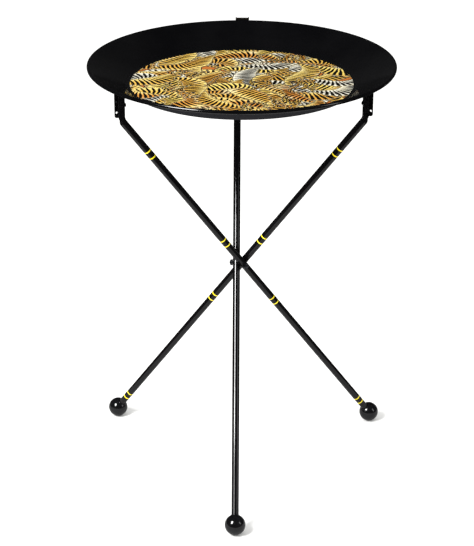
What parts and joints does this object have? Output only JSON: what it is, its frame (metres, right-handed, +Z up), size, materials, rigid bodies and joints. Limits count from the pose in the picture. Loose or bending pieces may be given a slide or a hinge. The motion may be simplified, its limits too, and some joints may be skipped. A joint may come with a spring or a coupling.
{
  "type": "folding tripod tray table",
  "caption": "Round black tray with a tiger-stripe printed floor, lifted off a folding tripod of crossed tubes on ball feet.",
  "frame": {"origin": "on the floor, under the middle of the whole box", "axes": "+Z up; -Y is the side of the front foot, +X is the right-hand side seen from the front"},
  "size_m": [0.4519, 0.4818, 0.654],
  "materials": {
    "tray_lacquer": "gloss",
    "tiger_print": "gloss",
    "tube_lacquer": "gloss",
    "ball_plastic": "gloss",
    "bare_steel": "satin",
    "black_fastener": "satin",
    "bush_acetal": "satin"
  },
  "bodies": {
    "hub": {"star_pin": "bare_steel", "washer_front": "black_fastener", "washer_right": "black_fastener", "washer_left": "black_fastener", "cap_nut_front": "black_fastener", "cap_nut_right": "black_fastener", "cap_nut_left": "black_fastener"},
    "leg_front": {"tube_front": "tube_lacquer", "bush_front": "bush_acetal", "plug_front": "bare_steel", "ball_front": "ball_plastic", "bracket_front": "tube_lacquer", "rivet_front": "black_fastener"},
    "leg_right": {"tube_right": "tube_lacquer", "bush_right": "bush_acetal", "plug_right": "bare_steel", "ball_right": "ball_plastic", "bracket_right": "tube_lacquer", "rivet_right": "black_fastener"},
    "leg_left": {"tube_left": "tube_lacquer", "bush_left": "bush_acetal", "plug_left": "bare_steel", "ball_left": "ball_plastic", "bracket_left": "tube_lacquer", "rivet_left": "black_fastener"},
    "tray": {"tray_dish": "tray_lacquer", "rim_wire": "bare_steel", "printed_panel": "tiger_print", "hanging_tab": "tray_lacquer"}
  },
  "joints": [
    {"name": "tray_lift", "type": "slide", "parent": "hub", "child": "tray", "axis": [0, 0, 1], "range_m": [0, 0.22]},
    {"name": "fold_front", "type": "hinge", "parent": "hub", "child": "leg_front", "pos_m": [-0.00812, 0.0146, 0.33255], "axis": [1, 0, 0], "range_deg": [0, 30]},
    {"name": "fold_right", "type": "hinge", "parent": "hub", "child": "leg_right", "pos_m": [0.00262, 0.0084, 0.33255], "axis": [-0.5, 0.866, 0], "range_deg": [0, 30]},
    {"name": "fold_left", "type": "hinge", "parent": "hub", "child": "leg_left", "pos_m": [0.00262, 0.0208, 0.33255], "axis": [-0.5, -0.866, 0], "range_deg": [0, 30]}
  ],
  "couplings": [
    {"joint": "fold_front", "follows": "tray_lift", "rad_per_m": 2.3799},
    {"joint": "fold_right", "follows": "tray_lift", "rad_per_m": 2.3799},
    {"joint": "fold_left", "follows": "tray_lift", "rad_per_m": 2.3799}
  ]
}
